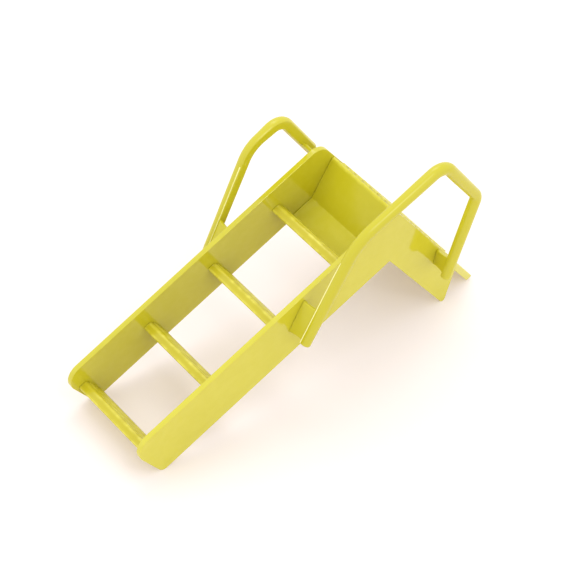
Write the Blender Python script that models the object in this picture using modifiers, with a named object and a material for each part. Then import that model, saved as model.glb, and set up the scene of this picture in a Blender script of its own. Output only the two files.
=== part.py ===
"""Climbing ladder and platform unit of a moulded playground slide, lying on its back.

Everything is modelled in the ladder's own axes (x depth, y across, z along the side
panels) under one empty, which lays the whole unit down on its feet and rear corners.
Metres, +Z up, the floor at z = 0.
"""

import math

import bmesh
import bpy
from mathutils import Matrix, Vector

# ---------------------------------------------------------------- driving sizes
GAP = 0.0003
LEAN = 0.207

HALF_WIDTH = 0.173
PANEL_T = 0.017
HALF_INSIDE = HALF_WIDTH - PANEL_T
STRINGER_D = 0.177
PANEL_TOP = 1.0035
CHEEK_H = 0.0875
CHEEK_TOP_D = 0.445
CHEEK_LOW_D = 0.564
FOOT_FRONT_R = 0.050
FOOT_BACK_R = 0.022
TOP_FRONT_R = 0.050
CHEEK_R = 0.010

TREAD_COUNT = 4
TREAD_PITCH = 0.250
TREAD_BASE = 0.011
TREAD_T = 0.029
TREAD_FRONT = 0.0686
TREAD_BACK = 0.1765
TREAD_EDGE_R = 0.004
RIB_COUNT = 5
RIB_H = 0.003
RIB_W = 0.006
RIB_MARGIN = 0.024
TENON_T = 0.016
TENON_INSET = 0.018
TENON_L = 0.009

DECK_DROP = 0.003
DECK_T = 0.022
DECK_BACK = 0.440
STUD = 0.020
STUD_PITCH = 0.0345
STUD_H = 0.0055
STUD_COLS = 8
STUD_ROWS = 10

APRON_T = 0.011
APRON_TOP_D = 0.074
APRON_EDGE_R = 0.004
CREASE_D = 0.160
CREASE_Z = 0.898
RISER_T = 0.012

LIP_BACK = 0.590
BEAM_H = 0.028
FRONT_BEAM = (0.140, 0.165)
REAR_BEAM = (0.425, 0.455)
LEDGER_W = 0.018
LEDGER_H = 0.020
JOIST_W = 0.014
JOIST_H = 0.028
JOIST_Y = 0.055

RAIL_R = 0.018
RAIL_ROUND = 3
# Handrail centre lines as (depth, distance out from the middle, height, bend radius, thickness share).
TALL_RAIL = (
    (0.106, 0.2260, 0.567, 0.0, 0.89),
    (-0.125, 0.2410, 0.841, 0.160, 0.98),
    (-0.122, 0.2430, 1.166, 0.052, 1.05),
    (0.119, 0.2430, 1.213, 0.034, 0.97),
    (0.337, 0.2430, 1.019, 0.0, 0.89),
)
LOW_RAIL = (
    (0.106, 0.2260, 0.567, 0.0, 0.89),
    (-0.117, 0.2410, 0.834, 0.110, 0.96),
    (-0.115, 0.2430, 0.959, 0.048, 1.05),
    (0.098, 0.2430, 0.994, 0.0, 1.0),
)
BRACKET_T = 0.012
# Bracket centre lines as (depth, height) pairs: where each stands on the panel, then at its rail.
FRONT_BRACKET = (((0.0861, 0.562), (0.0203, 0.644)), ((0.0932, 0.570), (0.0257, 0.650)))
REAR_BRACKET = (((0.3120, 1.059), (0.3550, 1.0315)), ((0.2904, 1.060), (0.3320, 1.0234)))
TOP_BRACKET = (((0.0350, 0.9762), (0.0800, 0.9840)), ((0.0350, 0.9762), (0.0800, 0.9840)))

CENTRE_X = 0.64325

LIME = (0.610, 0.520, 0.022, 1.0)


# ---------------------------------------------------------------- helpers
def clear_file():
    for obj in list(bpy.data.objects):
        bpy.data.objects.remove(obj, do_unlink=True)
    for mesh in list(bpy.data.meshes):
        bpy.data.meshes.remove(mesh)


def collection(name):
    made = bpy.data.collections.new(name)
    bpy.context.scene.collection.children.link(made)
    return made


def slab_z(depth, base):
    """Height along the panel of a board surface that is level in use."""
    return base + LEAN * depth


def fillet_centre(corners, i):
    """Centre of the arc that rounds one corner of an outline."""
    here = Vector(corners[i][:2])
    before = (Vector(corners[i - 1][:2]) - here).normalized()
    after = (Vector(corners[(i + 1) % len(corners)][:2]) - here).normalized()
    return here + (before + after).normalized() * (corners[i][2] / math.sin(before.angle(after) / 2.0))


def rounded(corners, steps=8):
    """Closed outline from (x, z, radius) corners, each corner an arc."""
    points = []
    count = len(corners)
    for i, (x, z, radius) in enumerate(corners):
        here = Vector((x, z))
        if radius <= 0.0:
            points.append(here)
            continue
        before = Vector(corners[i - 1][:2]) - here
        after = Vector(corners[(i + 1) % count][:2]) - here
        before.normalize()
        after.normalize()
        half = before.angle(after) / 2.0
        reach = radius / math.tan(half)
        middle = here + (before + after).normalized() * (radius / math.sin(half))
        start = here + before * reach - middle
        end = here + after * reach - middle
        first = math.atan2(start.y, start.x)
        sweep = math.atan2(end.y, end.x) - first
        sweep = (sweep + math.pi) % (2.0 * math.pi) - math.pi
        for step in range(steps + 1):
            angle = first + sweep * step / steps
            points.append(middle + Vector((math.cos(angle), math.sin(angle))) * radius)
    return points


def link(mesh_or_curve, name, home, root):
    obj = bpy.data.objects.new(name, mesh_or_curve)
    home.objects.link(obj)
    obj.parent = root
    return obj


def board(name, outline, y_low, y_high, home, root):
    """A board: an outline in the x-z plane swept along y."""
    bm = bmesh.new()
    verts = [bm.verts.new((p[0], y_low, p[1])) for p in outline]
    face = bm.faces.new(verts)
    swept = bmesh.ops.extrude_face_region(bm, geom=[face])
    moved = [item for item in swept["geom"] if isinstance(item, bmesh.types.BMVert)]
    bmesh.ops.translate(bm, verts=moved, vec=(0.0, y_high - y_low, 0.0))
    bmesh.ops.recalc_face_normals(bm, faces=bm.faces)
    mesh = bpy.data.meshes.new(name)
    bm.to_mesh(mesh)
    bm.free()
    return link(mesh, name, home, root)


def gusset(name, lines, y_foot, y_rail, home, root):
    """A plate from a panel to its rail; lines holds its centre line at the panel and at the rail."""
    bm = bmesh.new()
    ends = []
    for line, y in zip(lines, (y_foot, y_rail)):
        start, end = Vector(line[0]), Vector(line[1])
        along = (end - start).normalized()
        half = Vector((-along.y, along.x)) * (BRACKET_T / 2.0)
        corners = (start - half, end - half, end + half, start + half)
        ends.append([bm.verts.new((p.x, y, p.y)) for p in corners])
    foot, rail = ends
    for k in range(4):
        bm.faces.new((foot[k], foot[k - 1], rail[k - 1], rail[k]))
    bm.faces.new(foot)
    bm.faces.new(rail)
    bmesh.ops.triangulate(bm, faces=bm.faces)
    bmesh.ops.recalc_face_normals(bm, faces=bm.faces)
    mesh = bpy.data.meshes.new(name)
    bm.to_mesh(mesh)
    bm.free()
    return link(mesh, name, home, root)


def level_box(x0, x1, base, thick):
    """Outline of a board that is level in use, between two depths."""
    return [
        (x0, slab_z(x0, base)),
        (x1, slab_z(x1, base)),
        (x1, slab_z(x1, base + thick)),
        (x0, slab_z(x0, base + thick)),
    ]


def bevel(obj, width, segments=2):
    mod = obj.modifiers.new("edge_round", "BEVEL")
    mod.width = width
    mod.segments = segments
    mod.limit_method = "ANGLE"
    mod.angle_limit = math.radians(40.0)


def boolean(obj, other, operation):
    mod = obj.modifiers.new(operation.lower(), "BOOLEAN")
    mod.operation = operation
    mod.solver = "EXACT"
    mod.object = other


def hide(obj):
    obj.hide_render = True
    obj.display_type = "WIRE"


def bend_path(corners, steps=8):
    """(point, thickness share) along a tube path: corners joined by arcs."""
    path = [(Vector(corners[0][:3]), corners[0][4])]
    for i in range(1, len(corners) - 1):
        here = Vector(corners[i][:3])
        radius = corners[i][3]
        before = (Vector(corners[i - 1][:3]) - here).normalized()
        after = (Vector(corners[i + 1][:3]) - here).normalized()
        half = before.angle(after) / 2.0
        reach = radius / math.tan(half)
        middle = here + (before + after).normalized() * (radius / math.sin(half))
        start = (here + before * reach - middle).normalized()
        end = (here + after * reach - middle).normalized()
        for step in range(steps + 1):
            path.append((middle + start.slerp(end, step / steps) * radius, corners[i][4]))
    path.append((Vector(corners[-1][:3]), corners[-1][4]))
    return path


def tube(name, path, grow, home, root):
    """A round bar with flat ends, swept along the path."""
    curve = bpy.data.curves.new(name, "CURVE")
    curve.dimensions = "3D"
    curve.bevel_depth = RAIL_R
    curve.bevel_resolution = RAIL_ROUND
    curve.use_fill_caps = True
    curve.resolution_u = 1
    curve.render_resolution_u = 1
    spline = curve.splines.new("POLY")
    spline.points.add(len(path) - 1)
    for target, (point, share) in zip(spline.points, path):
        target.co = (point.x, point.y, point.z, 1.0)
        target.radius = share + grow / RAIL_R
    shape = link(curve, name + "_path", home, root)
    bpy.context.view_layer.update()
    graph = bpy.context.evaluated_depsgraph_get()
    mesh = bpy.data.meshes.new_from_object(shape.evaluated_get(graph))
    mesh.name = name
    bpy.data.objects.remove(shape, do_unlink=True)
    bpy.data.curves.remove(curve)
    bm = bmesh.new()
    bm.from_mesh(mesh)
    bmesh.ops.remove_doubles(bm, verts=bm.verts, dist=0.00001)
    bmesh.ops.recalc_face_normals(bm, faces=bm.faces)
    bm.to_mesh(mesh)
    bm.free()
    return link(mesh, name, home, root)


def paint(obj, shade):
    mat = bpy.data.materials.new(obj.name + "_plastic")
    mat.use_nodes = True
    shader = mat.node_tree.nodes["Principled BSDF"]
    tint = (LIME[0] * shade, LIME[1] * shade, LIME[2] * shade, 1.0)
    shader.inputs["Base Color"].default_value = tint
    shader.inputs["Roughness"].default_value = 0.32
    obj.data.materials.clear()
    obj.data.materials.append(mat)


# ---------------------------------------------------------------- outlines
def panel_corners():
    low_edge = PANEL_TOP - CHEEK_H
    return [
        (0.0, 0.0, FOOT_FRONT_R),
        (STRINGER_D, slab_z(STRINGER_D, 0.0), FOOT_BACK_R),
        (STRINGER_D, low_edge, 0.004),
        (CHEEK_LOW_D, slab_z(CHEEK_LOW_D - STRINGER_D, low_edge), CHEEK_R),
        (CHEEK_TOP_D, slab_z(CHEEK_TOP_D, PANEL_TOP), CHEEK_R),
        (0.0, PANEL_TOP, TOP_FRONT_R),
    ]


def rest_pose():
    """Tilt and lift that stand the unit on its rear foot corners and low cheek corners."""
    corners = panel_corners()
    foot = fillet_centre(corners, 1)
    cheek = fillet_centre(corners, 3)
    apart = cheek - foot
    tilt = math.atan2(apart.x, apart.y) + math.asin((CHEEK_R - FOOT_BACK_R) / apart.length)
    return tilt, FOOT_BACK_R + foot.x * math.cos(tilt) - foot.y * math.sin(tilt)


def tread_outline(base):
    """Section of a tread: rounded edges and long grip ribs on the upper side."""
    low = [
        (TREAD_BACK, slab_z(TREAD_BACK, base), TREAD_EDGE_R),
        (TREAD_BACK, slab_z(TREAD_BACK, base + TREAD_T), TREAD_EDGE_R),
    ]
    ribs = []
    room = TREAD_BACK - TREAD_FRONT - RIB_MARGIN - 0.010
    for i in range(RIB_COUNT):
        middle = TREAD_BACK - RIB_MARGIN - room * (i + 0.5) / RIB_COUNT
        top = base + TREAD_T
        right = middle + RIB_W / 2.0
        left = middle - RIB_W / 2.0
        ribs.append((right, slab_z(right, top), 0.0))
        ribs.append((right - 0.001, slab_z(right, top) + RIB_H, 0.0))
        ribs.append((left + 0.001, slab_z(left, top) + RIB_H, 0.0))
        ribs.append((left, slab_z(left, top), 0.0))
    high = [
        (TREAD_FRONT, slab_z(TREAD_FRONT, base + TREAD_T), TREAD_EDGE_R),
        (TREAD_FRONT, slab_z(TREAD_FRONT, base), TREAD_EDGE_R),
    ]
    return rounded(low + ribs + high, steps=4)


def tenon_outline(base, grow):
    middle = base + TREAD_T / 2.0
    return level_box(
        TREAD_FRONT + TENON_INSET - grow,
        TREAD_BACK - TENON_INSET + grow,
        middle - TENON_T / 2.0 - grow,
        TENON_T + 2.0 * grow,
    )


# ---------------------------------------------------------------- build
clear_file()
parts = collection("wave_slide_ladder_unit")
cutters = collection("wave_slide_cutters")

root = bpy.data.objects.new("rest_pose", None)
parts.objects.link(root)
tilt, lift = rest_pose()
root.rotation_euler = (0.0, math.pi / 2.0 - tilt, 0.0)
root.location = (-CENTRE_X, 0.0, lift)

bases = [TREAD_BASE + TREAD_PITCH * i for i in range(TREAD_COUNT)]

# Side panels, with a blind socket for every tread.
panels = {}
for side, sign in (("near", -1.0), ("far", 1.0)):
    inner, outer = sign * HALF_INSIDE, sign * HALF_WIDTH
    panel = board(
        f"side_panel_{side}", rounded(panel_corners()), min(inner, outer), max(inner, outer), parts, root
    )
    bevel(panel, 0.0015)
    for i, base in enumerate(bases):
        low, high = sorted((sign * (HALF_INSIDE - 0.002), sign * (HALF_INSIDE + TENON_L + GAP)))
        socket = board(f"socket_{side}_{i + 1}", tenon_outline(base, GAP), low, high, cutters, root)
        hide(socket)
        boolean(panel, socket, "DIFFERENCE")
    panels[side] = panel

# Treads: full boards between the panels, tenoned into both.
for i, base in enumerate(bases):
    shoulder = HALF_INSIDE - GAP
    reach = HALF_INSIDE + TENON_L
    tread = board(f"tread_{i + 1}", tread_outline(base), -shoulder, shoulder, parts, root)
    tenon = board(f"tenon_{i + 1}", tenon_outline(base, 0.0), -reach, reach, cutters, root)
    hide(tenon)
    boolean(tread, tenon, "UNION")

# Apron sloping back from the top front edge, and the riser under it.
deck_half = HALF_INSIDE - GAP
deck_top = PANEL_TOP - DECK_DROP
apron_top = Vector((APRON_TOP_D, slab_z(APRON_TOP_D, deck_top)))
crease = Vector((CREASE_D, CREASE_Z))
fall = (crease - apron_top).normalized()
back = Vector((-fall.y, fall.x))
behind = apron_top + back * APRON_T
rise = (slab_z(behind.x, deck_top) - behind.y) / (fall.y - LEAN * fall.x)
apron_back_top = behind + fall * rise
apron_back_low = behind + fall * ((CREASE_D + RISER_T - behind.x) / fall.x)
apron = board(
    "apron_panel",
    rounded(
        [
            (*apron_top, APRON_EDGE_R),
            (*apron_back_top, 0.0),
            (*apron_back_low, 0.0),
            (*crease, 0.0),
        ]
    ),
    -deck_half,
    deck_half,
    parts,
    root,
)
bevel(apron, 0.0008, 1)

riser_foot = bases[-1] + TREAD_T + GAP
riser_back = CREASE_D + RISER_T
riser = board(
    "riser_panel",
    [
        (CREASE_D, slab_z(CREASE_D, riser_foot)),
        (riser_back, slab_z(riser_back, riser_foot)),
        (riser_back, apron_back_low.y - GAP),
        (CREASE_D, CREASE_Z - GAP),
    ],
    -deck_half,
    deck_half,
    parts,
    root,
)

# Deck with raised grip studs, its front edge cut to the slope of the apron.
deck_base = deck_top - DECK_T
deck_front = apron_back_top.x + 2.0 * GAP
undercut = fall.x / -(fall.y - LEAN * fall.x) * DECK_T
deck_low_front = deck_front + undercut
deck = board(
    "deck",
    [
        (deck_front, slab_z(deck_front, deck_top)),
        (deck_low_front, slab_z(deck_low_front, deck_base)),
        (DECK_BACK, slab_z(DECK_BACK, deck_base)),
        (DECK_BACK, slab_z(DECK_BACK, deck_top)),
    ],
    -deck_half,
    deck_half,
    parts,
    root,
)
lay_back = Matrix.Rotation(-math.atan(LEAN), 4, "Y")
upright = lay_back @ Vector((0.0, 0.0, 1.0))
studs = bmesh.new()
for row in range(STUD_ROWS):
    for col in range(STUD_COLS):
        made = bmesh.ops.create_cone(
            studs,
            cap_ends=True,
            segments=4,
            radius1=STUD * 0.7071,
            radius2=STUD * 0.58,
            depth=STUD_H + 0.002,
            matrix=lay_back @ Matrix.Rotation(math.pi / 4.0, 4, "Z"),
        )
        x = deck_front + 0.020 + STUD_PITCH * row
        y = STUD_PITCH * (col - (STUD_COLS - 1) / 2.0)
        base = Vector((x, y, slab_z(x, deck_top)))
        middle = base + upright * (STUD_H / 2.0 - 0.001)
        bmesh.ops.translate(studs, verts=made["verts"], vec=middle)
stud_mesh = bpy.data.meshes.new("deck_studs")
studs.to_mesh(stud_mesh)
studs.free()
stud_tool = link(stud_mesh, "deck_studs", cutters, root)
hide(stud_tool)
boolean(deck, stud_tool, "UNION")

# Rear lip, level with the deck, and the frame hidden under both.
board(
    "rear_lip", level_box(DECK_BACK + GAP, LIP_BACK, deck_base, DECK_T), -deck_half, deck_half, parts, root
)
under = deck_base - GAP
board(
    "front_deck_beam", level_box(*FRONT_BEAM, under - BEAM_H, BEAM_H), -deck_half, deck_half, parts, root
)
board(
    "rear_deck_beam", level_box(*REAR_BEAM, under - BEAM_H, BEAM_H), -deck_half, deck_half, parts, root
)
run = (FRONT_BEAM[1] + GAP, REAR_BEAM[0] - GAP)
for side, sign in (("near", -1.0), ("far", 1.0)):
    edge = sign * deck_half
    inner = edge - sign * LEDGER_W
    ledger = level_box(*run, under - LEDGER_H, LEDGER_H)
    board(f"deck_ledger_{side}", ledger, min(edge, inner), max(edge, inner), parts, root)
    joist = level_box(*run, under - JOIST_H, JOIST_H)
    middle = sign * JOIST_Y
    board(
        f"deck_joist_{side}", joist, middle - JOIST_W / 2.0, middle + JOIST_W / 2.0, parts, root
    )

# Handrails: the near one runs back to the rear of the platform, the far one is a short loop.
for side, sign, line in (("near", -1.0, TALL_RAIL), ("far", 1.0, LOW_RAIL)):
    corners = [(x, sign * out, z, radius, share) for x, out, z, radius, share in line]
    path = bend_path(corners)
    tube(f"handrail_{side}", path, 0.0, parts, root)
    seat = tube(f"rail_seat_{side}", path, GAP, cutters, root)
    hide(seat)
    last = ("rear_rail_bracket", REAR_BRACKET) if side == "near" else ("top_rail_bracket", TOP_BRACKET)
    for name, lines in (("front_rail_bracket", FRONT_BRACKET), last):
        foot = sign * (HALF_WIDTH + GAP)
        reach = sign * (HALF_WIDTH + 0.056)
        bracket = gusset(f"{name}_{side}", lines, foot, reach, parts, root)
        boolean(bracket, seat, "DIFFERENCE")

for index, obj in enumerate(sorted(parts.objects, key=lambda item: item.name)):
    if obj.type == "MESH":
        paint(obj, 1.0 - 0.01 * (index % 4))
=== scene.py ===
"""The slide's ladder-and-platform unit, lying on its back on a pale floor.

Every shape is modelled in the ladder's own axes (x depth from the front edge, y across,
z along the side panels, metres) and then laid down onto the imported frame.
"""
import math

import bmesh
import bpy
from mathutils import Matrix, Vector


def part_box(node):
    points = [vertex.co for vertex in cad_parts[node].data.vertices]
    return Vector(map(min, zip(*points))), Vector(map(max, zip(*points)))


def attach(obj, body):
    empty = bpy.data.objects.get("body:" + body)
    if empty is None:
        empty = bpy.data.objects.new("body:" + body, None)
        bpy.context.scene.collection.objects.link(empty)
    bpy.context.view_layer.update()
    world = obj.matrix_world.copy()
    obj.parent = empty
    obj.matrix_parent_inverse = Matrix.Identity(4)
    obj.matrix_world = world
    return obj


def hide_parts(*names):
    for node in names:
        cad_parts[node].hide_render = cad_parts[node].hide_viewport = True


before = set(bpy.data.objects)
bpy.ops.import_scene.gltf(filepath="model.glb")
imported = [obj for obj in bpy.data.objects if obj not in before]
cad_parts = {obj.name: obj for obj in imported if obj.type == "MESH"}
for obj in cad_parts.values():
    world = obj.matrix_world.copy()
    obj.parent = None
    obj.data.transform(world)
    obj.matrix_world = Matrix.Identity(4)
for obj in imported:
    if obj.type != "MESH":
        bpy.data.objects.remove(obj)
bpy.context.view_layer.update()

# ---------------------------------------------------------------- sizes, in the ladder's axes
LEAN = 0.207  # how much the treads and the deck rise per metre of depth
HALF_WIDTH = 0.173
PANEL_T = 0.017
HALF_INSIDE = HALF_WIDTH - PANEL_T
STRINGER_D = 0.177
PANEL_TOP = 1.0035
CHEEK_H = 0.0875
CHEEK_TOP_D = 0.445
CHEEK_LOW_D = 0.564
FOOT_FRONT_R = 0.050
FOOT_BACK_R = 0.022
TOP_FRONT_R = 0.050
INNER_R = 0.004  # where the cheek meets the stringer
CHEEK_R = 0.010
PANEL_EDGE = 0.0022

# Boards and webs stop this far short of the side panels, which leaves a dark crease.
CREASE_GAP = 0.0014
BOARD_ENDS = (-HALF_INSIDE + CREASE_GAP, HALF_INSIDE - CREASE_GAP)

TREAD_BASES = (0.011, 0.261, 0.511, 0.761)
TREAD_T = 0.029
TREAD_FRONT = 0.0686
TREAD_BACK = 0.1765
TREAD_EDGE_R = 0.0045
TREAD_NOSE_R = 0.009
RIB_COUNT = 5
RIB_H = 0.003
RIB_W = 0.008
RIB_STEPS = 8
RIB_BACK_MARGIN = 0.024
RIB_FRONT_MARGIN = 0.010

DECK_TOP = PANEL_TOP - 0.003
DECK_T = 0.022
DECK_BACK = 0.440
DECK_FRONT_GAP = 0.0006
STUD_FOOT_R = 0.014142  # centre to corner
STUD_TOP_R = 0.0116
STUD_EDGE = 0.0016
STUD_H = 0.0055
STUD_ROOT = 0.002  # how deep a stud reaches into the deck
STUD_PITCH = 0.0345
STUD_MARGIN = 0.020
STUD_COLS = 8
STUD_ROWS = 10
LIP_GAP = 0.0003
LIP_BACK = 0.590
LIP_THIN = 0.001
LIP_R = 0.004
LIP_EDGE = 0.0020

APRON_T = 0.011
APRON_TOP_D = 0.074
APRON_NOSE_R = 0.007
APRON_BACK_R = 0.002
CREASE_D = 0.160
CREASE_Z = 0.898
RISER_T = 0.012

RAIL_R = 0.018
LEG_FLAT = 0.62
# Handrail centre lines: depth, distance out, height, bend radius, thickness share, inner flat share.
TALL_RAIL = (
    (0.106, 0.2260, 0.567, 0.0, 0.89, LEG_FLAT),
    (-0.125, 0.2410, 0.841, 0.160, 0.98, 0.70),
    (-0.122, 0.2430, 1.166, 0.052, 1.05, 0.86),
    (0.119, 0.2430, 1.213, 0.034, 0.97, 0.80),
    (0.337, 0.2430, 1.019, 0.0, 0.89, LEG_FLAT),
)
LOW_RAIL = (
    (0.106, 0.2260, 0.567, 0.0, 0.89, LEG_FLAT),
    (-0.117, 0.2410, 0.834, 0.110, 0.96, 0.70),
    (-0.115, 0.2430, 0.959, 0.048, 1.05, 0.72),
    (0.098, 0.2430, 0.994, 0.0, 1.0, 0.80),
)
# The rounded end of a rail: how much thinner each ring is, and how far in from the end it lies.
RAIL_RIMS = ((0.0026, 0.0), (0.0008, 0.0008), (0.0, 0.0026))
RAIL_ARC_STEPS = 24
RAIL_REST_STEPS = 3
RAIL_CORNER_STEPS = 4
RAIL_CORNER_R = 0.0020
RAIL_CORNER_GROWTH = 0.9
RAIL_CORNER_LIMIT = 0.45

# The moulding seam: its height, its place round the section, and its half widths as angles there.
SEAM_H = 0.0020
SEAM_TURN = math.radians(207.0)
SEAM_FOOT = 0.09
SEAM_CREST = 0.03
# It has faded out where the inner flat share reaches SEAM_END, and starts to fade SEAM_FADE before that.
SEAM_END = 0.705
SEAM_FADE = 0.03
# Above this seam share the crest faces take the pale cream, a painted highlight line.
SEAM_SHOWN = 0.3
SEAM_FACES = range(RAIL_ARC_STEPS, RAIL_ARC_STEPS + 3)

WEB_T = 0.012
WEB_EDGE_R = 0.0035
WEB_STEPS = 12
WEB_FLARE = 0.0015
WEB_RAIL_FLARE = 0.6 * WEB_FLARE
WEB_HOLLOW = 0.0015
WEB_FOOT_SHARE = 0.28
WEB_RAIL_SHARE = 0.25
# Web centre lines as (depth, height) pairs: on the panel, and then WEB_SPAN out from it.
WEB_SPAN = 0.056
FRONT_WEB = (((0.0861, 0.562), (0.0203, 0.644)), ((0.0951, 0.572), (0.0276, 0.652)))
REAR_WEB = (((0.3120, 1.059), (0.3550, 1.0315)), ((0.2904, 1.060), (0.3320, 1.0234)))
TOP_WEB = (((0.0350, 0.9762), (0.0800, 0.9840)), ((0.0350, 0.9762), (0.0800, 0.9840)))
# How far out the webs run, to end inside their rails.
FRONT_REACH = 0.055
TOP_REACH = 0.060

FRAME_EDGE = 0.0015
WELD = 0.00001


# ---------------------------------------------------------------- laying down
def slab_z(depth, base):
    """Height at some depth of a slab that slopes by the lean."""
    return base + LEAN * depth


def panel_corners():
    low_edge = PANEL_TOP - CHEEK_H
    return [
        (0.0, 0.0, FOOT_FRONT_R),
        (STRINGER_D, slab_z(STRINGER_D, 0.0), FOOT_BACK_R),
        (STRINGER_D, low_edge, INNER_R),
        (CHEEK_LOW_D, slab_z(CHEEK_LOW_D - STRINGER_D, low_edge), CHEEK_R),
        (CHEEK_TOP_D, slab_z(CHEEK_TOP_D, PANEL_TOP), CHEEK_R),
        (0.0, PANEL_TOP, TOP_FRONT_R),
    ]


def corner_arc(previous, here, following, radius):
    """Centre, first point and last point of the arc that rounds a corner."""
    before = (previous - here).normalized()
    after = (following - here).normalized()
    half = before.angle(after) / 2.0
    reach = radius / math.tan(half)
    middle = here + (before + after).normalized() * (radius / math.sin(half))
    return middle, here + before * reach, here + after * reach


def outline_arc(corners, i):
    """The arc that rounds corner i of a closed outline of (x, z, radius) corners."""
    previous, here, following = (Vector(corners[k % len(corners)][:2]) for k in (i - 1, i, i + 1))
    return corner_arc(previous, here, following, corners[i][2])


def rounded(corners, steps=14):
    """Closed outline from (x, z, radius) corners, each corner with a radius an arc."""
    points = []
    for i, (x, z, radius) in enumerate(corners):
        if radius <= 0.0:
            points.append(Vector((x, z)))
            continue
        middle, start, end = outline_arc(corners, i)
        start = start - middle
        end = end - middle
        first = math.atan2(start.y, start.x)
        sweep = math.atan2(end.y, end.x) - first
        sweep = (sweep + math.pi) % (2.0 * math.pi) - math.pi
        for step in range(steps + 1):
            angle = first + sweep * step / steps
            points.append(middle + Vector((math.cos(angle), math.sin(angle))) * radius)
    return points


def laid_down():
    """The matrix from the ladder's axes to the row frame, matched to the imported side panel.

    The panel lies on two of its arcs, at the foot's back (corner 1) and the cheek's low end (corner 3).
    """
    corners = panel_corners()
    apart = outline_arc(corners, 3)[0] - outline_arc(corners, 1)[0]
    tilt = math.atan2(apart.x, apart.y) + math.asin((CHEEK_R - FOOT_BACK_R) / apart.length)
    turn = Matrix.Rotation(math.pi / 2.0 - tilt, 4, "Y")
    outline = [turn @ Vector((p[0], 0.0, p[1])) for p in rounded(corners)]
    low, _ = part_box("side_panel_near")
    shift = Vector((low.x - min(p.x for p in outline), 0.0, low.z - min(p.z for p in outline)))
    return Matrix.Translation(shift) @ turn


LAID = laid_down()


# ---------------------------------------------------------------- piece helpers
def mesh_from(bm, name):
    """A mesh with what is in the bmesh, which is freed."""
    mesh = bpy.data.meshes.new(name)
    bm.to_mesh(mesh)
    bm.free()
    return mesh


def linked(name, data):
    """A new object in the scene."""
    obj = bpy.data.objects.new(name, data)
    bpy.context.scene.collection.objects.link(obj)
    return obj


def finish_piece(bm, name, nodes, material, edge=0.0, sharp=32.0):
    """Lays a bmesh down, and makes it a piece that rides on the frame."""
    bmesh.ops.recalc_face_normals(bm, faces=bm.faces)
    bmesh.ops.transform(bm, matrix=LAID, verts=bm.verts)
    mesh = mesh_from(bm, name)
    mesh.polygons.foreach_set("use_smooth", [True] * len(mesh.polygons))
    obj = linked(name, mesh)
    if edge > 0.0:
        mod = obj.modifiers.new("edge_round", "BEVEL")
        mod.width = edge
        mod.segments = 3
        mod.limit_method = "ANGLE"
        mod.angle_limit = math.radians(sharp)
        mod.harden_normals = True
    else:
        mesh.set_sharp_from_angle(angle=math.radians(sharp))
    mesh.materials.append(material)
    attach(obj, "root")
    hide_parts(*nodes)
    return obj


def swept(outline, y_low, y_high):
    """A bmesh of an outline in the x-z plane swept along y."""
    bm = bmesh.new()
    face = bm.faces.new([bm.verts.new((p[0], y_low, p[1])) for p in outline])
    made = bmesh.ops.extrude_face_region(bm, geom=[face])
    moved = [item for item in made["geom"] if isinstance(item, bmesh.types.BMVert)]
    bmesh.ops.translate(bm, verts=moved, vec=(0.0, y_high - y_low, 0.0))
    return bm


def ringed(bm, margin=0.004, big=0.003):
    """A ring of vertices just inside each big flat face keeps the paler edge tone, part wear and part
    painted highlight, to the edges.
    """
    flats = [face for face in bm.faces if len(face.verts) == 4 and face.calc_area() > big]
    bmesh.ops.inset_individual(bm, faces=flats, thickness=margin, use_even_offset=True)
    return bm


def skinned(rings):
    """A closed bmesh over rings of points, and its side faces as one list per pair of rings."""
    bm = bmesh.new()
    loops = [[bm.verts.new(point) for point in ring] for ring in rings]
    count = len(loops[0])
    bands = []
    for a, b in zip(loops, loops[1:]):
        corners = [(a[k], a[(k + 1) % count], b[(k + 1) % count], b[k]) for k in range(count)]
        bands.append([bm.faces.new(four) for four in corners])
    bm.faces.new(loops[0])
    bm.faces.new(reversed(loops[-1]))
    return bm, bands


def spaced(first, last, steps):
    """Evenly spaced values from first to last, both included."""
    return [first + (last - first) * i / steps for i in range(steps + 1)]


# ---------------------------------------------------------------- moulded plastic
# Each plastic drifts between a light tone and a deep one.
LIME = ((0.560, 0.505, 0.020, 1.0), (0.530, 0.478, 0.013, 1.0))
# A lighter copy of the lime: painted light on the near panel's outer face.
LIT_LIME = ((0.610, 0.555, 0.034, 1.0), (0.580, 0.525, 0.026, 1.0))
# A darker, more orange copy of the lime: painted shade on the treads, taking down the light on their upward
# faces.
SHADED_LIME = ((0.530, 0.456, 0.013, 1.0), (0.502, 0.432, 0.009, 1.0))
# A paler copy of the lime: a painted highlight of reflected light on the rear lip.
SHEEN_LIME = ((0.690, 0.640, 0.125, 1.0), (0.660, 0.610, 0.110, 1.0))
# Pale cream for the seam's crest faces: a painted highlight line along the rails.
PAINTED_HIGHLIGHT_CREAM = ((0.930, 0.900, 0.420, 1.0), (0.880, 0.850, 0.330, 1.0))
# The pale edge tone: part wear, part a painted highlight along the edges.
WORN_AND_SHEEN_TONE = (0.740, 0.680, 0.085, 1.0)
DUSK = 0.93  # the tone of the flow streaks, as a share of the deep tone
STREAK_SHARE = 0.35
WORN_ROUGH = 0.10
REFRACTION = 1.60

# Noise scales per metre, and the heights of the two bumps.
DRIFT_SCALE = 3.2
FLOW_SCALE = 5.0
FLOW_TURN = math.radians(20.0)
FLOW_STRETCH = (0.9, 9.0, 9.0)
WEAR_SCALE = 38.0
WAVE_SCALE = 9.0
WAVE_H = 0.0012
WAVE_STRENGTH = 0.02
PEEL_SCALE = 420.0
PEEL_H = 0.0004


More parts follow.
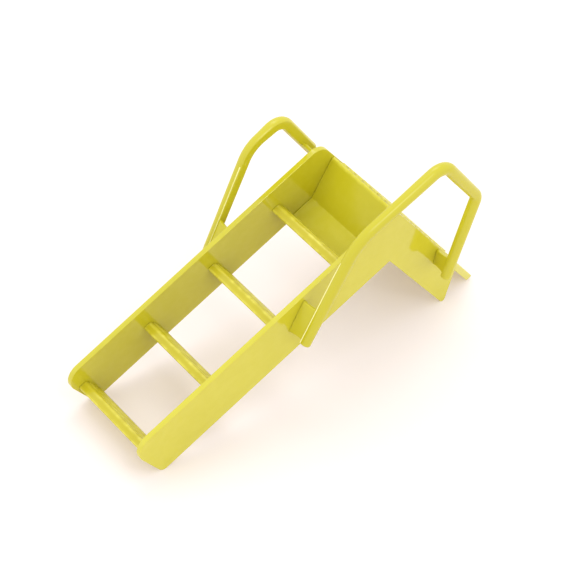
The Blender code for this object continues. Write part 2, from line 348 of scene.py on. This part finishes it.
def plastic(name, tones, rough, peel, streaks=0.5, shine=0.5, spread=0.12, worn_and_sheen=0.75):
    """Glossy moulded plastic: slow colour drift, flow streaks, orange peel, and paler edges that are part
    wear and part painted highlight.
    """
    light, deep = tones
    mat = bpy.data.materials.new(name)
    mat.use_nodes = True
    tree = mat.node_tree
    nodes, links = tree.nodes, tree.links
    shader = nodes["Principled BSDF"]
    shader.inputs["IOR"].default_value = REFRACTION
    shader.inputs["Specular IOR Level"].default_value = shine

    where = nodes.new("ShaderNodeTexCoord")

    def noise(scale, detail, vector=None, roughness=0.5):
        node = nodes.new("ShaderNodeTexNoise")
        node.inputs["Scale"].default_value = scale
        node.inputs["Detail"].default_value = detail
        node.inputs["Roughness"].default_value = roughness
        links.new(vector or where.outputs["Object"], node.inputs["Vector"])
        return node.outputs["Fac"]

    def ranged(value, low, high, to_low, to_high):
        node = nodes.new("ShaderNodeMapRange")
        node.inputs["From Min"].default_value = low
        node.inputs["From Max"].default_value = high
        node.inputs["To Min"].default_value = to_low
        node.inputs["To Max"].default_value = to_high
        links.new(value, node.inputs["Value"])
        return node.outputs["Result"]

    def maths(operation, a, b):
        node = nodes.new("ShaderNodeMath")
        node.operation = operation
        for socket, value in zip(node.inputs, (a, b)):
            if isinstance(value, float):
                socket.default_value = value
            else:
                links.new(value, socket)
        return node.outputs[0]

    def blended(factor, a, b):
        node = nodes.new("ShaderNodeMix")
        node.data_type = "RGBA"
        links.new(factor, node.inputs[0])
        for socket, value in ((node.inputs[6], a), (node.inputs[7], b)):
            if isinstance(value, tuple):
                socket.default_value = value
            else:
                links.new(value, socket)
        return node.outputs[2]

    def bumped(height, strength, distance, normal=None):
        node = nodes.new("ShaderNodeBump")
        node.inputs["Strength"].default_value = strength
        node.inputs["Distance"].default_value = distance
        links.new(height, node.inputs["Height"])
        if normal:
            links.new(normal, node.inputs["Normal"])
        return node.outputs["Normal"]

    # Flow streaks run the long way of the moulding.
    stretch = nodes.new("ShaderNodeMapping")
    stretch.inputs["Rotation"].default_value = (0.0, FLOW_TURN, 0.0)
    stretch.inputs["Scale"].default_value = FLOW_STRETCH
    links.new(where.outputs["Object"], stretch.inputs["Vector"])
    flow = noise(FLOW_SCALE, 4.0, stretch.outputs["Vector"], 0.6)
    streak = maths("MULTIPLY", ranged(flow, 0.35, 0.75, 0.0, 1.0), STREAK_SHARE * streaks)

    # Edges turn paler in patches: part wear, part a painted highlight along the edges.
    surface = nodes.new("ShaderNodeNewGeometry")
    edge = ranged(surface.outputs["Pointiness"], 0.52, 0.60, 0.0, 1.0)
    patches = ranged(noise(WEAR_SCALE, 3.0), 0.42, 0.66, 0.2 * worn_and_sheen, worn_and_sheen)
    wear_and_sheen = maths("MULTIPLY", edge, patches)

    body = blended(ranged(noise(DRIFT_SCALE, 2.0), 0.3, 0.7, 0.0, 1.0), deep, light)
    body = blended(streak, body, tuple(c * DUSK for c in deep[:3]) + (1.0,))
    body = blended(wear_and_sheen, body, WORN_AND_SHEEN_TONE)
    links.new(body, shader.inputs["Base Color"])

    gloss = ranged(flow, 0.3, 0.75, rough * (1.0 - spread), rough * (1.0 + spread))
    gloss = maths("ADD", gloss, maths("MULTIPLY", wear_and_sheen, WORN_ROUGH))
    links.new(gloss, shader.inputs["Roughness"])

    wave = bumped(noise(WAVE_SCALE, 1.5), WAVE_STRENGTH, WAVE_H)
    fine = bumped(noise(PEEL_SCALE, 2.0), peel, PEEL_H, wave)
    links.new(fine, shader.inputs["Normal"])
    return mat


# The near panel takes the lighter copy of the lime: painted light on its outer face.
PANEL = {
    "near": plastic("lime_panel_near", LIT_LIME, 0.085, 0.03, spread=0.35),
    "far": plastic("lime_panel_far", LIME, 0.085, 0.03, spread=0.35),
}
# The treads take the darker copy of the lime: painted shade on their upward faces.
TREAD = plastic("lime_tread", SHADED_LIME, 0.16, 0.04, streaks=0.25, shine=0.38, spread=0.04)
BOARD = plastic("lime_board", LIME, 0.18, 0.03, streaks=0.25, shine=0.22, spread=0.04, worn_and_sheen=0.35)
DECK = plastic("lime_deck", LIME, 0.20, 0.08)
# The rear lip takes the paler copy of the lime: a painted highlight.
LIP = plastic("lime_lip", SHEEN_LIME, 0.20, 0.06)
RAIL = plastic("lime_rail", LIME, 0.24, 0.02, shine=0.42)
# The seam's crest faces take the pale cream: a painted highlight line.
SEAM_HIGHLIGHT = plastic("lime_seam_highlight", PAINTED_HIGHLIGHT_CREAM, 0.17, 0.02)
WEB = plastic("lime_web", LIME, 0.15, 0.02, streaks=0.25, shine=0.30, spread=0.05, worn_and_sheen=0.10)
FRAME = plastic("lime_frame", LIME, 0.30, 0.10)

# ---------------------------------------------------------------- side panels
for side, sign in (("near", -1.0), ("far", 1.0)):
    ends = sorted((sign * HALF_INSIDE, sign * HALF_WIDTH))
    finish_piece(
        swept(rounded(panel_corners()), *ends),
        f"side_panel_{side}_shell", [f"side_panel_{side}"], PANEL[side], PANEL_EDGE,
    )


# ---------------------------------------------------------------- treads
def tread_outline(base):
    """Section of a tread: rounded edges, and round-topped grip ribs on the upper side."""
    low = [
        (TREAD_BACK, slab_z(TREAD_BACK, base), TREAD_EDGE_R),
        (TREAD_BACK, slab_z(TREAD_BACK, base + TREAD_T), TREAD_EDGE_R),
    ]
    high = [
        (TREAD_FRONT, slab_z(TREAD_FRONT, base + TREAD_T), TREAD_NOSE_R),
        (TREAD_FRONT, slab_z(TREAD_FRONT, base), TREAD_EDGE_R),
    ]
    ribs = []
    room = TREAD_BACK - TREAD_FRONT - RIB_BACK_MARGIN - RIB_FRONT_MARGIN
    for i in range(RIB_COUNT):
        middle = TREAD_BACK - RIB_BACK_MARGIN - room * (i + 0.5) / RIB_COUNT
        for turn in spaced(0.0, math.pi, RIB_STEPS):
            x = middle + math.cos(turn) * RIB_W / 2.0
            ribs.append((x, slab_z(x, base + TREAD_T) + math.sin(turn) * RIB_H, 0.0))
    return rounded(low + ribs + high, steps=6)


for number, base in enumerate(TREAD_BASES, 1):
    finish_piece(
        ringed(swept(tread_outline(base), *BOARD_ENDS)),
        f"tread_{number}_board", [f"tread_{number}"], TREAD,
    )

# ---------------------------------------------------------------- apron and riser
# The apron's face falls from its top to the crease. Its back runs APRON_T behind that face, from
# the level of the deck's top (back_top) down to the riser's back (back_low).
apron_top = Vector((APRON_TOP_D, slab_z(APRON_TOP_D, DECK_TOP)))
crease = Vector((CREASE_D, CREASE_Z))
fall = (crease - apron_top).normalized()
behind = apron_top + Vector((-fall.y, fall.x)) * APRON_T
rise = (slab_z(behind.x, DECK_TOP) - behind.y) / (fall.y - LEAN * fall.x)
back_top = behind + fall * rise
back_low = behind + fall * ((CREASE_D + RISER_T - behind.x) / fall.x)
apron_outline = [
    (*apron_top, APRON_NOSE_R),
    (*back_top, APRON_BACK_R),
    (*back_low, 0.0),
    (*crease, 0.0),
]
finish_piece(
    ringed(swept(rounded(apron_outline, steps=8), *BOARD_ENDS)),
    "apron_board", ["apron_panel"], BOARD,
)

riser_foot = TREAD_BASES[-1] + TREAD_T
riser_back = CREASE_D + RISER_T
riser_outline = [
    (CREASE_D, slab_z(CREASE_D, riser_foot)),
    (riser_back, slab_z(riser_back, riser_foot)),
    (riser_back, back_low.y),
    (CREASE_D, CREASE_Z),
]
finish_piece(
    ringed(swept(riser_outline, *BOARD_ENDS)),
    "riser_board", ["riser_panel"], BOARD,
)

# ---------------------------------------------------------------- deck, studs and lip
# The deck's front edge slopes with the apron's back.
deck_front = back_top.x + DECK_FRONT_GAP
undercut = fall.x / -(fall.y - LEAN * fall.x) * DECK_T
deck_outline = [
    (deck_front, slab_z(deck_front, DECK_TOP)),
    (deck_front + undercut, slab_z(deck_front + undercut, DECK_TOP - DECK_T)),
    (DECK_BACK, slab_z(DECK_BACK, DECK_TOP - DECK_T)),
    (DECK_BACK, slab_z(DECK_BACK, DECK_TOP)),
]
lay_back = Matrix.Rotation(-math.atan(LEAN), 4, "Y")
upright = lay_back @ Vector((0.0, 0.0, 1.0))


def stud_mesh(x, y):
    """A square grip stud that tapers towards its top, with its root in the deck."""
    stud = bmesh.new()
    bmesh.ops.create_cone(
        stud, cap_ends=True, segments=4, radius1=STUD_FOOT_R, radius2=STUD_TOP_R,
        depth=STUD_H + STUD_ROOT, matrix=lay_back @ Matrix.Rotation(math.pi / 4.0, 4, "Z"),
    )
    bmesh.ops.bevel(
        stud, geom=list(stud.edges), offset=STUD_EDGE, segments=3, profile=0.5,
        affect="EDGES", clamp_overlap=True,
    )
    middle = Vector((x, y, slab_z(x, DECK_TOP))) + upright * ((STUD_H - STUD_ROOT) / 2.0)
    bmesh.ops.translate(stud, verts=stud.verts, vec=middle)
    return mesh_from(stud, "stud")


deck = swept(deck_outline, -HALF_INSIDE, HALF_INSIDE)
for row in range(STUD_ROWS):
    for col in range(STUD_COLS):
        x = deck_front + STUD_MARGIN + STUD_PITCH * row
        y = STUD_PITCH * (col - (STUD_COLS - 1) / 2.0)
        kept = stud_mesh(x, y)
        deck.from_mesh(kept)
        bpy.data.meshes.remove(kept)
finish_piece(deck, "deck_board", ["deck"], DECK)

lip_front = DECK_BACK + LIP_GAP
lip_outline = [
    (lip_front, slab_z(DECK_BACK, DECK_TOP - DECK_T), 0.0),
    (LIP_BACK, slab_z(LIP_BACK, DECK_TOP - DECK_T), LIP_R),
    (LIP_BACK, slab_z(LIP_BACK, DECK_TOP - LIP_THIN), LIP_R),
    (lip_front, slab_z(DECK_BACK, DECK_TOP), 0.0),
]
finish_piece(
    swept(rounded(lip_outline, steps=8), -HALF_INSIDE + LIP_GAP, HALF_INSIDE - LIP_GAP),
    "rear_lip_board", ["rear_lip"], LIP, LIP_EDGE,
)


# ---------------------------------------------------------------- handrails
def rail_path(corners, sign, steps=20):
    """Stations along a rail: (point, thickness share, inner flat share), the bends as arcs."""
    places = [Vector((x, sign * out, z)) for x, out, z, _, _, _ in corners]
    sizes = [(share, flat) for _, _, _, _, share, flat in corners]
    path = [(places[0], *sizes[0])]
    for i in range(1, len(corners) - 1):
        radius = corners[i][3]
        middle, start, end = corner_arc(places[i - 1], places[i], places[i + 1], radius)
        start = (start - middle).normalized()
        end = (end - middle).normalized()
        for step in range(steps + 1):
            path.append((middle + start.slerp(end, step / steps) * radius, *sizes[i]))
    path.append((places[-1], *sizes[-1]))
    return path


def refined(path, spacing=0.008):
    """The same stations with straight runs split, so that sizes change smoothly."""
    out = [path[0]]
    for (a, share_a, flat_a), (b, share_b, flat_b) in zip(path, path[1:]):
        count = max(1, round((b - a).length / spacing))
        for i in range(1, count + 1):
            t = i / count
            ease = t * t * (3.0 - 2.0 * t)
            share = share_a + (share_b - share_a) * ease
            out.append((a.lerp(b, t), share, flat_a + (flat_b - flat_a) * ease ** 3))
    return out


def seam_share(flat):
    """How far the seam stands out: all the way on the legs, less as the section gets rounder."""
    return max(0.0, min(1.0, (SEAM_END - flat) / SEAM_FADE))


def rail_section(radius, flat):
    """D-shaped section as (in-plane, outward) points: round, but flat where it faces the panel.

    A moulding seam stands proud along the front, a little inward of its middle.
    """
    seam = SEAM_H * seam_share(flat)
    growth = RAIL_CORNER_GROWTH * radius * max(0.0, flat - LEG_FLAT)
    corner = min(RAIL_CORNER_R + growth, RAIL_CORNER_LIMIT * radius)
    centre_out = corner - flat * radius
    centre_in_plane = math.sqrt((radius - corner) ** 2 - centre_out ** 2)
    start = math.atan2(centre_out, centre_in_plane)
    end = math.pi - start

    turns = [(turn, radius) for turn in spaced(start, SEAM_TURN - SEAM_FOOT, RAIL_ARC_STEPS)]
    turns += [(SEAM_TURN - SEAM_CREST, radius + seam), (SEAM_TURN + SEAM_CREST, radius + seam)]
    turns += [(turn, radius) for turn in spaced(SEAM_TURN + SEAM_FOOT, end, RAIL_REST_STEPS)]
    points = [(out * math.cos(turn), out * math.sin(turn)) for turn, out in turns]

    front = spaced(end, 1.5 * math.pi, RAIL_CORNER_STEPS)[1:]
    rear = spaced(-0.5 * math.pi, start, RAIL_CORNER_STEPS)[:-1]
    for side, corner_turns in ((-1.0, front), (1.0, rear)):
        for turn in corner_turns:
            x = side * centre_in_plane + corner * math.cos(turn)
            points.append((x, centre_out + corner * math.sin(turn)))
    return points


def rail(name, corners, sign, nodes):
    """A handrail swept along its stations, with rounded ends and the seam's crest in a pale plastic that
    paints a highlight line along it.
    """
    stations = refined(rail_path(corners, sign))
    final = len(stations) - 1
    rings = []
    seamed = []
    for i, (point, share, flat) in enumerate(stations):
        ahead = (stations[min(i + 1, final)][0] - stations[max(i - 1, 0)][0]).normalized()
        in_plane = Vector((0.0, 1.0, 0.0)).cross(ahead).normalized()
        outward = ahead.cross(in_plane).normalized() * sign
        rims = ((0.0, 0.0),)
        if i == 0:
            rims = RAIL_RIMS
        elif i == final:
            rims = [(inset, -back) for inset, back in reversed(RAIL_RIMS)]
        for inset, along in rims:
            centre = point + ahead * along
            section = rail_section(RAIL_R * share - inset, flat)
            rings.append([centre + in_plane * u + outward * v for u, v in section])
            seamed.append(seam_share(flat) > SEAM_SHOWN)
    bm, bands = skinned(rings)
    # Crest faces where the seam stands out take the second plastic, the painted highlight line.
    for band, shown in zip(bands, seamed):
        for k in SEAM_FACES:
            band[k].material_index = 1 if shown else 0
    obj = finish_piece(bm, name, nodes, RAIL, sharp=50.0)
    obj.data.materials.append(SEAM_HIGHLIGHT)


rail("handrail_near_bar", TALL_RAIL, -1.0, ["handrail_near"])
rail("handrail_far_bar", LOW_RAIL, 1.0, ["handrail_far"])


# ---------------------------------------------------------------- webs between rail and panel
def web(name, lines, sign, nodes, reach):
    """A splayed plate from the panel's outer face to the rail, its free edges a little hollow."""
    foot_line, rail_line = ([Vector(end) for end in line] for line in lines)
    half = WEB_T / 2.0
    rings = []
    for t in spaced(0.0, 1.0, WEB_STEPS):
        y = sign * (HALF_WIDTH + CREASE_GAP + (reach - CREASE_GAP) * t)
        lean = t * reach / WEB_SPAN
        start = foot_line[0].lerp(rail_line[0], lean)
        end = foot_line[1].lerp(rail_line[1], lean)
        along = (end - start).normalized()
        across = Vector((-along.y, along.x))
        at_foot = 1.0 - min(1.0, t / WEB_FOOT_SHARE)
        at_rail = max(0.0, (t - (1.0 - WEB_RAIL_SHARE)) / WEB_RAIL_SHARE)
        wider = WEB_FLARE * at_foot ** 2 + WEB_RAIL_FLARE * at_rail ** 2
        wider -= WEB_HOLLOW * math.sin(math.pi * t)
        low, high = -wider, (end - start).length + wider
        corners = [(low, -half), (high, -half), (high, half), (low, half)]
        outline = rounded([(u, v, WEB_EDGE_R) for u, v in corners], steps=5)
        places = [start + along * u + across * v for u, v in outline]
        rings.append([(place.x, y, place.y) for place in places])
    bm, _ = skinned(rings)
    finish_piece(bm, name, nodes, WEB, sharp=50.0)


web("front_web_near", FRONT_WEB, -1.0, ["front_rail_bracket_near"], FRONT_REACH)
web("front_web_far", FRONT_WEB, 1.0, ["front_rail_bracket_far"], FRONT_REACH)
web("rear_web_near", REAR_WEB, -1.0, ["rear_rail_bracket_near"], TOP_REACH)
web("top_web_far", TOP_WEB, 1.0, ["top_rail_bracket_far"], TOP_REACH)

# ---------------------------------------------------------------- hidden deck frame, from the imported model
HIDDEN_FRAME = (
    "front_deck_beam",
    "rear_deck_beam",
    "deck_ledger_near",
    "deck_ledger_far",
    "deck_joist_near",
    "deck_joist_far",
)
for node in HIDDEN_FRAME:
    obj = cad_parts[node]
    obj.data.materials.clear()
    obj.data.materials.append(FRAME)
    weld = obj.modifiers.new("weld", "WELD")
    weld.merge_threshold = WELD
    mod = obj.modifiers.new("edge_round", "BEVEL")
    mod.width = FRAME_EDGE
    mod.segments = 2
    mod.limit_method = "ANGLE"

# ---------------------------------------------------------------- floor
FLOOR_SIZE = 14.0
FLOOR_TONE = (0.72, 0.69, 0.68, 1.0)
FLOOR_GLOW = (0.94, 0.72, 0.73, 1.0)
FLOOR_GLOW_STRENGTH = 0.24
FLOOR_ROUGH = 0.75
FLOOR_SHINE = 0.2

bm = bmesh.new()
bmesh.ops.create_grid(bm, x_segments=8, y_segments=8, size=FLOOR_SIZE)
floor = linked("floor", mesh_from(bm, "floor"))
paper = bpy.data.materials.new("pale_floor")
paper.use_nodes = True
shader = paper.node_tree.nodes["Principled BSDF"]
shader.inputs["Base Color"].default_value = FLOOR_TONE
shader.inputs["Emission Color"].default_value = FLOOR_GLOW
shader.inputs["Emission Strength"].default_value = FLOOR_GLOW_STRENGTH
shader.inputs["Roughness"].default_value = FLOOR_ROUGH
shader.inputs["Specular IOR Level"].default_value = FLOOR_SHINE
floor.data.materials.append(paper)

# ---------------------------------------------------------------- light
SKY_STRENGTH = 1.26
world = bpy.data.worlds.new("studio")
bpy.context.scene.world = world
world.use_nodes = True
sky = world.node_tree.nodes["Background"]
sky.inputs["Color"].default_value = (1.0, 1.0, 1.0, 1.0)
sky.inputs["Strength"].default_value = SKY_STRENGTH


def softbox(name, place, aim, width, power):
    """A square light at a place, aimed at a point."""
    lamp = bpy.data.lights.new(name, "AREA")
    lamp.shape = "SQUARE"
    lamp.size = width
    lamp.energy = power
    obj = linked(name, lamp)
    obj.location = place
    obj.rotation_euler = (Vector(aim) - Vector(place)).to_track_quat("-Z", "Y").to_euler()


softbox("key", (1.0, 1.3, 3.8), (0.0, 0.0, 0.2), 2.0, 25.0)
softbox("fill", (-0.70, -2.56, 4.48), (0.18, 0.16, 0.37), 0.6, 15.0)

# ---------------------------------------------------------------- camera
SENSOR = 36.0
LENS = 4.912 * SENSOR
FARTHEST = 60.0
CAMERA_PLACE = (-3.30863, -4.23045, 6.17922)
CAMERA_RIGHT = (0.785168, -0.619278, 0.000275)
CAMERA_UP = (0.458675, 0.581849, 0.671620)
CAMERA_BACK = (-0.416077, -0.527209, 0.740892)

camera_data = bpy.data.cameras.new("camera")
camera_data.sensor_width = SENSOR
camera_data.lens = LENS
camera_data.clip_end = FARTHEST
camera = linked("camera", camera_data)
turned = Matrix((CAMERA_RIGHT, CAMERA_UP, CAMERA_BACK)).transposed().to_4x4()
camera.matrix_world = Matrix.Translation(CAMERA_PLACE) @ turned
bpy.context.scene.camera = camera
bpy.context.scene.view_settings.view_transform = "Standard"
